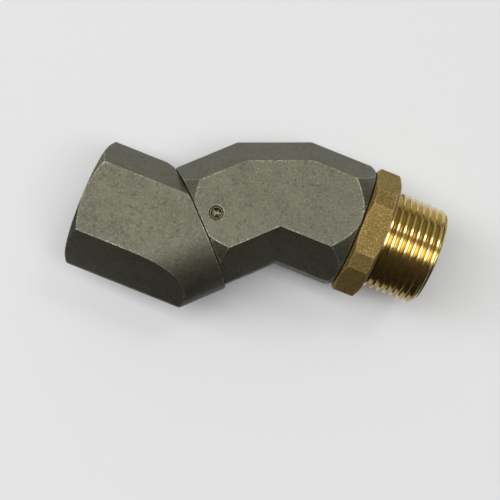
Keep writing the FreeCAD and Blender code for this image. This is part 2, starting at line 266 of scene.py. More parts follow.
def edge_wear(tree, place, grain, reach):
    """Share of bare metal and painted highlight, from the distance to the nearest rounded edge in
    millimetres, broken up by the grain and by where hands have rubbed."""
    distance = add(tree, "ShaderNodeAttribute", attribute_name="edge_distance").outputs["Fac"]
    jitter = add(tree, "ShaderNodeMapRange", {0: grain, 1: 0.35, 2: 0.65, 3: reach, 4: -reach}).outputs[0]
    ragged = add(tree, "ShaderNodeMath", {0: distance, 1: jitter}, operation="ADD").outputs[0]
    bare = add(tree, "ShaderNodeMapRange", {0: ragged, 1: reach, 2: -0.5 * reach},
               interpolation_type="SMOOTHSTEP").outputs[0]
    handled = add(tree, "ShaderNodeTexNoise", {"Vector": place, "Scale": per_size(6.0),
                                               "Detail": 2.0}).outputs["Fac"]
    share = add(tree, "ShaderNodeMapRange", {0: handled, 1: 0.35, 2: 0.62, 3: 0.15, 4: 0.85}).outputs[0]
    return add(tree, "ShaderNodeMath", {0: bare, 1: share}, operation="MULTIPLY").outputs[0]


def turning_marks(tree, place, axes, spacing):
    """Height of the rings that a lathe tool leaves round an axis, as a wave along it."""
    local = add(tree, "ShaderNodeMapping", {"Vector": place}, vector_type="TEXTURE")
    local.inputs["Location"].default_value = axes.translation
    local.inputs["Rotation"].default_value = axes.to_euler()
    along = add(tree, "ShaderNodeSeparateXYZ", {"Vector": local.outputs["Vector"]})
    still = add(tree, "ShaderNodeCombineXYZ", {"X": along.outputs["X"]})
    return add(tree, "ShaderNodeTexNoise", {"Vector": still.outputs["Vector"], "Scale": per_size(spacing),
                                            "Detail": 2.0}).outputs["Fac"]


def turned_cast_aluminium():
    """The same alloy bored and threaded: brighter and smoother, with the rings of the boring tool."""
    material, tree, place = start_material("turned_cast_aluminium")
    # A boring tool leaves its rings closer together; they are drawn as coarse as they need to show
    rings = turning_marks(tree, place, PORT, 0.35)
    tint = add(tree, "ShaderNodeMapRange", {0: rings, 1: 0.3, 2: 0.7, 3: 0.0, 4: 0.5}).outputs[0]
    base = add(tree, "ShaderNodeMix", {0: tint, 6: rgba(colours().casting_light),
                                       7: rgba(colours().casting)}, data_type="RGBA").outputs[2]
    rough = add(tree, "ShaderNodeMapRange", {0: rings, 1: 0.3, 2: 0.7, 3: 0.32, 4: 0.45}).outputs[0]
    bump = add(tree, "ShaderNodeBump", {"Height": rings, "Strength": 0.35, "Distance": 0.03 * MM}).outputs[0]
    end_material(tree, Base_Color=base, Metallic=0.95, Roughness=rough, Normal=bump)
    return material


def forged_brass():
    """Hot-forged brass, shot blasted: a granular skin that glitters, with brown stains, and edges that are
    partly rubbed bare and partly a painted highlight.
    """
    material, tree, place = start_material("forged_brass")
    tone = colours()
    # Shot leaves a finer grain than this; it is drawn as coarse as it needs to show
    grain = add(tree, "ShaderNodeTexNoise", {"Vector": place, "Scale": per_size(0.3), "Detail": 2.0,
                                             "Roughness": 0.7}).outputs["Fac"]
    cloud = add(tree, "ShaderNodeTexNoise", {"Vector": place, "Scale": per_size(4.0),
                                             "Detail": 3.0}).outputs["Fac"]
    stained = add(tree, "ShaderNodeMapRange", {0: cloud, 1: 0.45, 2: 0.75, 3: 0.0, 4: 0.35}).outputs[0]
    pitted = add(tree, "ShaderNodeMapRange", {0: grain, 1: 0.5, 2: 0.36, 3: 0.0, 4: 0.45}).outputs[0]
    bright = add(tree, "ShaderNodeMapRange", {0: grain, 1: 0.5, 2: 0.62, 3: 0.0, 4: 0.6}).outputs[0]
    # Lighter edges: partly rubbed bare brass, partly a painted highlight along every outer edge
    worn_and_highlight = edge_wear(tree, place, grain, 0.26)
    base = rgba(tone.brass)
    for share, over in ((stained, tone.brass_dark), (pitted, tone.brass_dark),
                        (bright, tone.brass_turned), (worn_and_highlight, tone.brass_turned)):
        base = add(tree, "ShaderNodeMix", {0: share, 6: base, 7: rgba(over)}, data_type="RGBA").outputs[2]
    bump = add(tree, "ShaderNodeBump", {"Height": grain, "Strength": 0.8, "Distance": 0.04 * MM}).outputs[0]
    end_material(tree, Base_Color=base, Metallic=1.0, Roughness=0.75, Normal=bump)
    return material


def turned_brass():
    """Free-cutting brass straight from the lathe: bright yellow, sharp reflections, fine tool rings."""
    material, tree, place = start_material("turned_brass")
    rings = turning_marks(tree, place, SHANK, 0.12)
    cloud = add(tree, "ShaderNodeTexNoise", {"Vector": place, "Scale": per_size(3.0),
                                             "Detail": 3.0}).outputs["Fac"]
    stained = add(tree, "ShaderNodeMapRange", {0: cloud, 1: 0.5, 2: 0.8, 3: 0.0, 4: 0.3}).outputs[0]
    base = add(tree, "ShaderNodeMix", {0: stained, 6: rgba(colours().brass_turned),
                                       7: rgba(colours().brass_dark)}, data_type="RGBA").outputs[2]
    rough = add(tree, "ShaderNodeMapRange", {0: rings, 1: 0.3, 2: 0.7, 3: 0.16, 4: 0.24}).outputs[0]
    bump = add(tree, "ShaderNodeBump", {"Height": rings, "Strength": 0.25, "Distance": 0.01 * MM}).outputs[0]
    end_material(tree, Base_Color=base, Metallic=0.98, Roughness=rough, Normal=bump)
    return material


def ground_bearing_steel():
    """Through-hardened chrome steel, ground and lapped: a mirror with a faint oily haze."""
    material, tree, place = start_material("ground_bearing_steel")
    haze = add(tree, "ShaderNodeTexNoise", {"Vector": place, "Scale": per_size(0.8),
                                            "Detail": 2.0}).outputs["Fac"]
    rough = add(tree, "ShaderNodeMapRange", {0: haze, 1: 0.3, 2: 0.7, 3: 0.08, 4: 0.2}).outputs[0]
    end_material(tree, Base_Color=rgba(linear("dcdcde")), Metallic=1.0, Roughness=rough)
    return material


def phosphated_steel():
    """Steel socket screw, phosphated and oiled: dark olive grey with a brown film of dried thread lock."""
    material, tree, place = start_material("phosphated_steel")
    film = add(tree, "ShaderNodeTexNoise", {"Vector": place, "Scale": per_size(0.6),
                                            "Detail": 3.0}).outputs["Fac"]
    share = add(tree, "ShaderNodeMapRange", {0: film, 1: 0.35, 2: 0.65, 3: 0.1, 4: 0.8}).outputs[0]
    base = add(tree, "ShaderNodeMix", {0: share, 6: rgba(linear("5e5b49")), 7: rgba(linear("413d2e"))},
               data_type="RGBA").outputs[2]
    bump = add(tree, "ShaderNodeBump", {"Height": film, "Strength": 0.3, "Distance": 0.03 * MM}).outputs[0]
    end_material(tree, Base_Color=base, Metallic=0.9, Roughness=0.2, Normal=bump)
    return material


def moulded(name, tint, roughness, grain_size, specular):
    """Moulded rubber or plastic: an even tint with a faint mould grain, drawn as coarse as it needs to
    show."""
    material, tree, place = start_material(name)
    shaded = [channel * 0.6 for channel in tint]
    grain = add(tree, "ShaderNodeTexNoise", {"Vector": place, "Scale": per_size(grain_size),
                                             "Detail": 3.0}).outputs["Fac"]
    shade = add(tree, "ShaderNodeMapRange", {0: grain, 1: 0.3, 2: 0.7, 3: 0.0, 4: 0.35}).outputs[0]
    base = add(tree, "ShaderNodeMix", {0: shade, 6: rgba(tint), 7: rgba(shaded)},
               data_type="RGBA").outputs[2]
    rough = add(tree, "ShaderNodeMapRange", {0: grain, 1: 0.3, 2: 0.7, 3: roughness,
                                             4: roughness + 0.12}).outputs[0]
    bump = add(tree, "ShaderNodeBump", {"Height": grain, "Strength": 0.3, "Distance": 0.03 * MM}).outputs[0]
    end_material(tree, Base_Color=base, Metallic=0.0, Roughness=rough, Normal=bump,
                 Specular_IOR_Level=specular)
    return material


def moulded_fluoro_rubber():
    """Fuel-proof rubber, press moulded and oiled: almost black with a soft sheen."""
    return moulded("moulded_fluoro_rubber", colours().rubber, 0.42, 0.4, 0.5)


def moulded_wiper_rubber():
    """Iron-oxide filled rubber of the wipers: dark reddish brown and matt."""
    return moulded("moulded_wiper_rubber", colours().wiper, 0.6, 0.5, 0.35)


def filled_bearing_polymer():
    """Bronze-filled bearing plastic of the guide rings: dull green."""
    return moulded("filled_bearing_polymer", linear("3d5348"), 0.5, 0.3, 0.4)


def sintered_fluoropolymer():
    """White fluoropolymer skived from a billet: waxy and slightly cloudy."""
    return moulded("sintered_fluoropolymer", linear("e8e6df"), 0.35, 0.8, 0.45)


def material_of(make):
    """The material that a function makes, made once."""
    return bpy.data.materials.get(make.__name__) or make()


# Mesh helpers

def finish_piece(name, mesh, materials, body, slot, *nodes):
    """Puts a mesh in the scene as a piece that rides on a body and stands for the nodes it replaces."""
    mesh.name = name
    # Clearing the slots would set every face back to the first material
    while len(mesh.materials) < len(materials):
        mesh.materials.append(None)
    for index, make in enumerate(materials):
        mesh.materials[index] = material_of(make)
    piece = bpy.data.objects.new(name, mesh)
    bpy.context.scene.collection.objects.link(piece)
    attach(piece, body)
    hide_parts(*nodes)


def evaluated_mesh(piece):
    """A plain mesh of what an object's modifiers make of it; the object itself is removed."""
    graph = bpy.context.evaluated_depsgraph_get()
    mesh = bpy.data.meshes.new_from_object(piece.evaluated_get(graph), depsgraph=graph)
    bpy.data.objects.remove(piece)
    return mesh


def work_object(mesh):
    """An object in the scene that carries a mesh while modifiers work on it."""
    piece = bpy.data.objects.new("work", mesh)
    bpy.context.scene.collection.objects.link(piece)
    return piece


def solid_copy(node):
    """Copy of a node's mesh with its doubles merged and its flat faces made whole."""
    merge = 0.0002 * MM
    shape = bmesh.new()
    shape.from_mesh(frame["nodes"][node].data)
    bmesh.ops.remove_doubles(shape, verts=shape.verts, dist=merge)
    bmesh.ops.dissolve_limit(shape, angle_limit=math.radians(0.3), verts=shape.verts, edges=shape.edges)
    mesh = bpy.data.meshes.new(node + "_copy")
    shape.to_mesh(mesh)
    shape.free()
    return mesh


def rounded(mesh, width):
    """Rounds the sharp edges; the faces of the rounding get material index 1."""
    mesh.materials.clear()
    mesh.materials.append(None)
    mesh.materials.append(None)
    piece = work_object(mesh)
    bevel = piece.modifiers.new("rounding", "BEVEL")
    bevel.width = width
    bevel.segments = 3
    bevel.limit_method = "ANGLE"
    bevel.angle_limit = math.radians(22)
    bevel.use_clamp_overlap = True
    bevel.material = 1
    return evaluated_mesh(piece)


def cut_into_grid(shape, axes, spacing):
    """Cuts the faces of a shape along planes square to the axes, so that none is wider than the spacing."""
    nearly_on = 0.0001 * MM
    inverse = axes.inverted()
    for column in range(3):
        normal = axes.col[column].xyz.normalized()
        places = [(inverse @ vertex.co)[column] for vertex in shape.verts]
        first = math.ceil(min(places) / spacing)
        for step in range(first, math.ceil(max(places) / spacing)):
            point = axes @ Vector([step * spacing if index == column else 0 for index in range(3)])
            everything = shape.verts[:] + shape.edges[:] + shape.faces[:]
            bmesh.ops.bisect_plane(shape, geom=everything, plane_co=point, plane_no=normal, dist=nearly_on)


def store_edge_distances(mesh):
    """Stores at each vertex its distance, in millimetres, to the nearest rounded outer edge."""
    shape = bmesh.new()
    shape.from_mesh(mesh)
    rounding = [face for face in shape.faces if face.material_index == 1]
    outer = [face for face in rounding if sum(edge.calc_face_angle_signed(0) for edge in face.edges) > 0]
    places = [vertex.co.copy() for face in outer for vertex in face.verts]
    shape.free()
    tree = kdtree.KDTree(len(places))
    for index, place in enumerate(places):
        tree.insert(place, index)
    tree.balance()
    attribute = mesh.attributes.new("edge_distance", "FLOAT", "POINT")
    for vertex in mesh.vertices:
        attribute.data[vertex.index].value = min(tree.find(vertex.co)[2] / MM, WEAR_AND_HIGHLIGHT_REACH)


def smooth_by_angle(mesh):
    """Smooth shading that keeps the sharp edges."""
    mesh.shade_smooth()
    mesh.set_sharp_from_angle(angle=SMOOTH_ANGLE)


def worked(solid, width, axes):
    """Mesh of a solid with rounded edges, cut into a grid that holds how far the outer edges are."""
    mesh = rounded(solid, width)
    shape = bmesh.new()
    shape.from_mesh(mesh)
    cut_into_grid(shape, axes, sizes().grid)
    shape.to_mesh(mesh)
    shape.free()
    store_edge_distances(mesh)
    for face in mesh.polygons:
        face.material_index = 0
    return mesh


def paint_faces(mesh, axes, is_second):
    """Gives the second material to faces for which is_second(along, radius) holds in the axes' frame."""
    inverse = axes.inverted()
    for face in mesh.polygons:
        local = inverse @ face.center
        if is_second(local.x, math.hypot(local.y, local.z)):
            face.material_index = 1


def joined(first, second):
    """One mesh from two, the faces of the second with the second material."""
    shape = bmesh.new()
    shape.from_mesh(first)
    kept = len(shape.faces)
    shape.from_mesh(second)
    shape.faces.ensure_lookup_table()
    for face in shape.faces[kept:]:
        face.material_index = 1
    shape.to_mesh(first)
    shape.free()
    return first


# Taper threads

def screw_tree():
    """Geometry nodes that wind a taper thread along X round a ring-shaped wall.
    Rows of a grid run along the helix; the last four rows are the end face, the bore and the start face."""
    tree = bpy.data.node_groups.new("taper_screw_thread", "GeometryNodeTree")
    tree.interface.new_socket("Geometry", in_out="OUTPUT", socket_type="NodeSocketGeometry")
    for name in ("Turns", "Rows", "Segments"):
        tree.interface.new_socket(name, in_out="INPUT", socket_type="NodeSocketInt")
    for name in ("Pitch", "Crest Radius", "Taper", "Depth", "Crest", "Root", "Run Out", "Tip Radius",
                 "Bore Radius", "Bore Chamfer"):
        tree.interface.new_socket(name, in_out="INPUT", socket_type="NodeSocketFloat")
    tree.interface.new_socket("Material", in_out="INPUT", socket_type="NodeSocketMaterial")
    given = add(tree, "NodeGroupInput").outputs
    math_node = "ShaderNodeMath"
    # One row of vertices for each step along the helix, one column for each step round it
    bands = add(tree, math_node, {0: given["Turns"], 1: 1.0}, operation="ADD").outputs[0]
    rows = add(tree, math_node, {0: bands, 1: given["Rows"]}, operation="MULTIPLY").outputs[0]
    last = add(tree, math_node, {0: rows, 1: 4.0}, operation="ADD").outputs[0]
    across = add(tree, math_node, {0: last, 1: 1.0}, operation="ADD").outputs[0]
    around = add(tree, math_node, {0: given["Segments"], 1: 1.0}, operation="ADD").outputs[0]
    grid = add(tree, "GeometryNodeMeshGrid", {"Size X": 1.0, "Size Y": 1.0, "Vertices X": around,
                                              "Vertices Y": across})
    place = add(tree, "ShaderNodeSeparateXYZ", {0: add(tree, "GeometryNodeInputPosition").outputs[0]})
    turn = add(tree, math_node, {0: place.outputs["X"], 1: 0.5}, operation="ADD").outputs[0]
    # Place along the axis. Past the last turn, row 1 is the mouth, rows 2 and 3 are the two ends of the
    # bore, and row 4 is the start rim once more
    row = add(tree, "ShaderNodeMapRange", {0: place.outputs["Y"], 1: -0.5, 2: 0.5, 3: 0.0,
                                           4: last}).outputs[0]
    band = add(tree, math_node, {0: row, 1: given["Rows"]}, operation="DIVIDE").outputs[0]
    lead = add(tree, math_node, {0: turn, 1: 1.0}, operation="SUBTRACT").outputs[0]
    wound = add(tree, math_node, {0: band, 1: lead}, operation="ADD").outputs[0]
    along = add(tree, math_node, {0: wound, 1: given["Pitch"]}, operation="MULTIPLY").outputs[0]
    end = add(tree, math_node, {0: given["Turns"], 1: given["Pitch"]}, operation="MULTIPLY").outputs[0]
    along = add(tree, "ShaderNodeClamp", {0: along, 1: 0.0, 2: end}).outputs[0]
    wall_row = add(tree, math_node, {0: row, 1: rows}, operation="SUBTRACT").outputs[0]
    in_bore = add(tree, math_node, {0: wall_row, 1: 1.5}, operation="GREATER_THAN").outputs[0]
    at_back = add(tree, math_node, {0: wall_row, 1: 2.5}, operation="GREATER_THAN").outputs[0]
    chamfered = add(tree, math_node, {0: end, 1: given["Bore Chamfer"]}, operation="SUBTRACT").outputs[0]
    along = add(tree, "ShaderNodeMix", {0: in_bore, 2: along, 3: chamfered}).outputs[0]
    along = add(tree, "ShaderNodeMix", {0: at_back, 2: along, 3: 0.0}).outputs[0]
    # Depth of the groove, from flat crest over straight flank to flat root, fading in over the run-out
    pitches = add(tree, math_node, {0: along, 1: given["Pitch"]}, operation="DIVIDE").outputs[0]
    phase = add(tree, math_node, {0: pitches, 1: turn}, operation="SUBTRACT").outputs[0]
    off_crest = add(tree, math_node, {0: phase, 1: 0.5}, operation="PINGPONG").outputs[0]
    crest_end = add(tree, math_node, {0: given["Crest"], 1: 0.5}, operation="MULTIPLY").outputs[0]
    root_start = add(tree, math_node, {0: given["Root"], 1: -0.5, 2: 0.5},
                     operation="MULTIPLY_ADD").outputs[0]
    sunk = add(tree, "ShaderNodeMapRange", {0: off_crest, 1: crest_end, 2: root_start}).outputs[0]
    fade = add(tree, "ShaderNodeMapRange", {0: along, 2: given["Run Out"]},
               interpolation_type="SMOOTHSTEP").outputs[0]
    groove = add(tree, math_node, {0: sunk, 1: fade}, operation="MULTIPLY").outputs[0]
    groove = add(tree, math_node, {0: groove, 1: given["Depth"]}, operation="MULTIPLY").outputs[0]
    # Radius of the tapered wall, chamfered at its tip, and of the bore with its chamfer
    narrowing = add(tree, math_node, {0: along, 1: given["Taper"]}, operation="MULTIPLY").outputs[0]
    crest = add(tree, math_node, {0: given["Crest Radius"], 1: narrowing}, operation="SUBTRACT").outputs[0]
    radius = add(tree, math_node, {0: crest, 1: groove}, operation="SUBTRACT").outputs[0]
    to_end = add(tree, math_node, {0: end, 1: along}, operation="SUBTRACT").outputs[0]
    limit = add(tree, math_node, {0: given["Tip Radius"], 1: to_end}, operation="ADD").outputs[0]
    radius = add(tree, math_node, {0: radius, 1: limit}, operation="MINIMUM").outputs[0]
    mouth = add(tree, math_node, {0: given["Bore Radius"], 1: given["Bore Chamfer"]},
                operation="ADD").outputs[0]
    wall = add(tree, "ShaderNodeMix", {0: in_bore, 2: mouth, 3: given["Bore Radius"]}).outputs[0]
    on_wall = add(tree, math_node, {0: wall_row, 1: 2.0, 2: 1.4}, operation="COMPARE").outputs[0]
    radius = add(tree, "ShaderNodeMix", {0: on_wall, 2: radius, 3: wall}).outputs[0]
    # Each vertex goes to its angle, and the seam and the last ring are merged
    angle = add(tree, math_node, {0: turn, 1: FULL_TURN}, operation="MULTIPLY").outputs[0]
    cosine = add(tree, math_node, {0: angle}, operation="COSINE").outputs[0]
    sine = add(tree, math_node, {0: angle}, operation="SINE").outputs[0]
    side = add(tree, math_node, {0: radius, 1: cosine}, operation="MULTIPLY").outputs[0]
    height = add(tree, math_node, {0: radius, 1: sine}, operation="MULTIPLY").outputs[0]
    point = add(tree, "ShaderNodeCombineXYZ", {0: along, 1: side, 2: height}).outputs[0]
    wrapped = add(tree, "GeometryNodeSetPosition", {"Geometry": grid.outputs["Mesh"], "Position": point})
    closed = add(tree, "GeometryNodeMergeByDistance", {"Geometry": wrapped.outputs[0],
                                                       "Distance": 0.001 * MM})
    real = add(tree, "GeometryNodeRealizeInstances", {0: closed.outputs[0]})
    painted = add(tree, "GeometryNodeSetMaterial", {"Geometry": real.outputs[0],
                                                    "Material": given["Material"]})
    add(tree, "NodeGroupOutput", {0: painted.outputs[0]})
    return tree


def grown(tree, inputs):
    """Mesh that a geometry tree makes from its named inputs."""
    holder = work_object(bpy.data.meshes.new("seed"))
    grow = holder.modifiers.new("nodes", "NODES")
    grow.node_group = tree
    for socket in tree.interface.items_tree:
        if socket.in_out == "INPUT" and socket.name in inputs:
            grow[socket.identifier] = inputs[socket.name]
    return evaluated_mesh(holder)


def outward(mesh):
    """Turns all faces of a closed mesh outwards."""
    shape = bmesh.new()
    shape.from_mesh(mesh)
    bmesh.ops.dissolve_degenerate(shape, edges=shape.edges, dist=0.0005 * MM)
    bmesh.ops.recalc_face_normals(shape, faces=shape.faces)
    if shape.calc_volume(signed=True) < 0:
        bmesh.ops.reverse_faces(shape, faces=shape.faces)
    shape.to_mesh(mesh)
    shape.free()
    return mesh


def thread_mesh(axes, material, **inputs):
    """A thread made along X of its axes; what both threads share is filled in."""
    tree = bpy.data.node_groups.get("taper_screw_thread") or screw_tree()
    names = {name.replace("_", " "): value for name, value in inputs.items()}
    names.update({"Pitch": sizes().pitch, "Rows": 16, "Segments": 160, "Material": material_of(material)})
    mesh = outward(grown(tree, names))
    mesh.transform(axes)
    return mesh


# Castings and brass stem

class SWIVEL_OT_elbow(bpy.types.Operator):
    """Middle casting, bent 45 degrees, with a ball race socket in each end"""
    bl_idname = "swivel.elbow"
    bl_label = "Elbow casting"

    def execute(self, context):
        size = sizes()
        mesh = worked(solid_copy("elbow_body"), size.casting_edge, INLET)
        # Turned faces lie inside each socket, up to half the way to the other one; its groove is widest
        groove = size.race_radius + size.ball / 2 + 0.1 * MM
        deep = (OUTLET.translation - INLET.translation).length / 2
        for axes in (INLET, OUTLET):
            paint_faces(mesh, axes, lambda along, radius: 0 < along < deep and radius < groove)
        smooth_by_angle(mesh)
        finish_piece("elbow_casting", mesh, [blasted_cast_aluminium, turned_cast_aluminium], "elbow",
                     "cast_aluminium", "elbow_body")
        return {"FINISHED"}


def bored(mesh, axes, radius, start, end):
    """Cuts a plain hole into a mesh, from start to end along the axes."""
    piece = work_object(mesh)
    cutter = bmesh.new()
    bmesh.ops.create_cone(cutter, cap_ends=True, segments=192, radius1=radius, radius2=radius,
                          depth=end - start)
    tool_mesh = bpy.data.meshes.new("cutter")
    cutter.to_mesh(tool_mesh)
    cutter.free()
    along_z = Matrix.Translation(Vector(((start + end) / 2, 0, 0))) @ Matrix.Rotation(math.pi / 2, 4, "Y")
    tool_mesh.transform(axes @ along_z)
    tool = work_object(tool_mesh)
    cut = piece.modifiers.new("hole", "BOOLEAN")
    cut.object = tool
    cut.operation = "DIFFERENCE"
    cut.solver = "EXACT"
    made = evaluated_mesh(piece)
    bpy.data.objects.remove(tool)
    return made


class SWIVEL_OT_inlet(bpy.types.Operator):
    """Left casting with the female taper thread in its far end"""
    bl_idname = "swivel.inlet"
    bl_label = "Inlet casting"

    def execute(self, context):
        size = sizes()
        deep = size.turns * size.pitch
        top = COUNTERBORE / 2
        wall = PORT_RADIUS + 0.02 * MM
        whole = bored(solid_copy("inlet_body"), PORT, PORT_RADIUS, -COUNTERBORE, top + deep)
        mesh = worked(whole, size.casting_edge, PORT)
        paint_faces(mesh, PORT, lambda along, radius: -top < along < top + deep and radius < wall)
        # The thread is a ring of its own, set into the plain hole and wound from its inner end outwards
        inner_end = PORT @ Matrix.Translation(Vector((top + deep, 0, 0))) @ Matrix.Rotation(math.pi, 4, "Z")
        outside = PORT_RADIUS + 0.05 * MM
        thread = thread_mesh(inner_end, turned_cast_aluminium, Turns=size.turns, Taper=-TAPER,
                             Crest_Radius=size.female_radius - deep * TAPER, Depth=-size.female_depth,
                             Crest=0.12, Root=0.05, Run_Out=size.pitch, Tip_Radius=NO_CHAMFER,
                             Bore_Radius=outside, Bore_Chamfer=0.0)
        mesh = joined(mesh, thread)
        smooth_by_angle(mesh)
        finish_piece("inlet_casting", mesh, [blasted_cast_aluminium, turned_cast_aluminium], "inlet",
                     "cast_aluminium", "inlet_body")
        return {"FINISHED"}


def cut_off(mesh, axes, along):
    """Drops what lies past a plane square to the axes and closes the cut."""
    shape = bmesh.new()
    shape.from_mesh(mesh)
    outwards = axes.col[0].xyz
    everything = shape.verts[:] + shape.edges[:] + shape.faces[:]
    cut = bmesh.ops.bisect_plane(shape, geom=everything, plane_co=axes @ Vector((along, 0, 0)),
                                 plane_no=outwards, clear_outer=True)
    rim = [item for item in cut["geom_cut"] if isinstance(item, bmesh.types.BMEdge)]
    bmesh.ops.triangle_fill(shape, use_beauty=True, edges=rim, normal=outwards)
    shape.to_mesh(mesh)
    shape.free()
    return mesh


class SWIVEL_OT_outlet(bpy.types.Operator):
    """Brass stem: spigot, wrench hexagon and male taper thread"""
    bl_idname = "swivel.outlet"
    bl_label = "Outlet stem"

    def execute(self, context):
        size = sizes()
        mesh = worked(solid_copy("outlet_stem"), size.brass_edge, SHANK)
        # The die runs on over the shank for one more turn, nearly up to the hexagon
        start = SHANK_LENGTH / 2 - size.pitch
        mesh = cut_off(mesh, SHANK, start)
        turned = SHANK_RADIUS + 0.1 * MM
        face = -SHANK_LENGTH / 2
        paint_faces(mesh, SHANK, lambda along, radius: radius < turned or along > face)
        root = SHANK_RADIUS - size.turns * size.pitch * TAPER - size.male_depth
        thread = thread_mesh(SHANK @ Matrix.Translation(Vector((start, 0, 0))), turned_brass,
                             Turns=size.turns + 1, Taper=TAPER, Depth=size.male_depth, Crest=0.3, Root=0.05,
                             Crest_Radius=SHANK_RADIUS + size.pitch * TAPER, Run_Out=0.5 * size.pitch,
                             Tip_Radius=root + 0.15 * MM, Bore_Radius=size.flow_radius,
                             Bore_Chamfer=size.bore_chamfer)
        mesh = joined(mesh, thread)
        smooth_by_angle(mesh)
        finish_piece("outlet_fitting", mesh, [forged_brass, turned_brass], "outlet", "brass", "outlet_stem")
        return {"FINISHED"}


# Balls, plugs, rings and seals

def race_tree():
    """Geometry nodes that set a ball at each corner of a ring round X."""
    tree = bpy.data.node_groups.new("ball_race", "GeometryNodeTree")
    tree.interface.new_socket("Geometry", in_out="OUTPUT", socket_type="NodeSocketGeometry")
    tree.interface.new_socket("Count", in_out="INPUT", socket_type="NodeSocketInt")
    for name in ("Race Radius", "Ball Radius", "First Angle"):
        tree.interface.new_socket(name, in_out="INPUT", socket_type="NodeSocketFloat")
    tree.interface.new_socket("Material", in_out="INPUT", socket_type="NodeSocketMaterial")
    given = add(tree, "NodeGroupInput").outputs
    ring = add(tree, "GeometryNodeMeshCircle", {"Vertices": given["Count"],
                                                "Radius": given["Race Radius"]})
    turn = add(tree, "ShaderNodeCombineXYZ", {"X": given["First Angle"], "Y": math.pi / 2})
    upright = add(tree, "GeometryNodeTransform", {"Geometry": ring.outputs[0], "Rotation": turn.outputs[0]})
    ball = add(tree, "GeometryNodeMeshUVSphere", {"Segments": 28, "Rings": 16,
                                                  "Radius": given["Ball Radius"]})
    set_out = add(tree, "GeometryNodeInstanceOnPoints", {"Points": upright.outputs[0],
                                                         "Instance": ball.outputs["Mesh"]})
    real = add(tree, "GeometryNodeRealizeInstances", {0: set_out.outputs[0]})
    smooth = add(tree, "GeometryNodeSetShadeSmooth", {0: real.outputs[0]})
    painted = add(tree, "GeometryNodeSetMaterial", {"Geometry": smooth.outputs[0],
                                                    "Material": given["Material"]})
    add(tree, "NodeGroupOutput", {0: painted.outputs[0]})
    return tree


class SWIVEL_OT_balls(bpy.types.Operator):
    """The two rings of steel balls that hold the swivels together"""
    bl_idname = "swivel.balls"
    bl_label = "Ball races"

    def execute(self, context):
        tree = race_tree()
        size = sizes()
        for side, axes in (("inlet", INLET), ("outlet", OUTLET)):
            node = side + "_balls"
            middle = axes.inverted() @ (sum(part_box(node), Vector()) / 2)
            mesh = grown(tree, {"Count": size.balls, "Race Radius": size.race_radius,
                                "Ball Radius": size.ball / 2, "First Angle": math.pi / size.balls,
                                "Material": material_of(ground_bearing_steel)})
            mesh.transform(axes @ Matrix.Translation(Vector((middle.x, 0, 0))))
            finish_piece(side + "_race_balls", mesh, [ground_bearing_steel], side + "_ball_set",
                         "ball_steel", node)
        return {"FINISHED"}


def hexagon_radius(apothem, angle):
    """Distance from the middle of a hexagon to its side, in a direction."""
    sixth = FULL_TURN / 6
    return apothem / math.cos((angle % sixth) - sixth / 2)


def stacked_rings(rings, segments):
    """Closed solid round Z from rings of (height, radius of the angle), with a disc at both ends."""
    shape = bmesh.new()
    loops = []
    for height, radius_at in rings:
        angles = [FULL_TURN * step / segments for step in range(segments)]
        corners = [(radius_at(turn) * math.cos(turn), radius_at(turn) * math.sin(turn)) for turn in angles]
        loops.append([shape.verts.new((x, y, height)) for x, y in corners])
    for lower, upper in zip(loops, loops[1:]):
        for step in range(segments):
            after = (step + 1) % segments
            shape.faces.new((lower[step], lower[after], upper[after], upper[step]))
    shape.faces.new(loops[0])
    shape.faces.new(loops[-1])
    mesh = bpy.data.meshes.new("stacked_rings")
    bmesh.ops.recalc_face_normals(shape, faces=shape.faces)
    shape.to_mesh(mesh)
    shape.free()
    return mesh


class SWIVEL_OT_plugs(bpy.types.Operator):
    """The two small socket screws that close the holes through which the balls are loaded"""
    bl_idname = "swivel.plugs"
    bl_label = "Ball plugs"

    def execute(self, context):
        size = sizes()
        radius = size.plug / 2
        edge = 0.18 * MM
        rim = size.plug_rim / 2
        lip = 0.05 * MM
        sink = 0.15 * MM
        hexagon = size.plug_socket / 2
        deep = 1.0 * MM
        drilled = 0.34 * MM
        point = 0.1 * MM
        for side in ("inlet", "outlet"):
            low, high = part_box(side + "_ball_plug")
            tall = high.z - low.z
            # Up the outside, over the rounded edge, down the countersink and the socket to the drill point
            rings = [(0, lambda turn: radius - edge), (edge, lambda turn: radius),
                     (tall - edge, lambda turn: radius), (tall - edge / 3, lambda turn: radius - edge / 3),
                     (tall, lambda turn: radius - edge), (tall, lambda turn: rim + lip),
                     (tall - lip, lambda turn: rim),
                     (tall - sink, lambda turn: hexagon_radius(hexagon, turn)),
                     (tall - deep, lambda turn: hexagon_radius(hexagon, turn)),
                     (tall - deep - drilled, lambda turn: point)]
            mesh = stacked_rings(rings, 48)
            middle = (low + high) / 2
            # The outlet's plug sits upside down, in the back flat
            if side == "outlet":
                mesh.transform(Matrix.Rotation(math.pi, 4, "X"))
                mesh.transform(Matrix.Translation(Vector((middle.x, middle.y, high.z))))
            else:
                mesh.transform(Matrix.Translation(Vector((middle.x, middle.y, low.z))))
            smooth_by_angle(mesh)
            finish_piece(side + "_socket_screw", mesh, [phosphated_steel], "elbow", "plug_steel",
                         side + "_ball_plug")
        return {"FINISHED"}


class SWIVEL_OT_seals(bpy.types.Operator):
    """Finish of the inlet stem and of the seals and rings on both spigots"""
    bl_idname = "swivel.seals"
    bl_label = "Seals, rings and inlet stem"

    def execute(self, context):
        # These nodes keep the shape that they have in the frame
        finishes = {"dust_seal": moulded_wiper_rubber, "guide_ring": filled_bearing_polymer,
                    "backup_ring": sintered_fluoropolymer, "main_o_ring": moulded_fluoro_rubber,
                    "second_o_ring": moulded_fluoro_rubber, "thrust_washer": sintered_fluoropolymer}
        pieces = {side + "_" + name: make for name, make in finishes.items() for side in ("inlet", "outlet")}
        pieces["inlet_stem"] = turned_brass
        pieces["inlet_stem_seal"] = moulded_fluoro_rubber
        for node, make in pieces.items():
            for slot in frame["nodes"][node].material_slots:
                slot.material = material_of(make)
        return {"FINISHED"}


# Stage

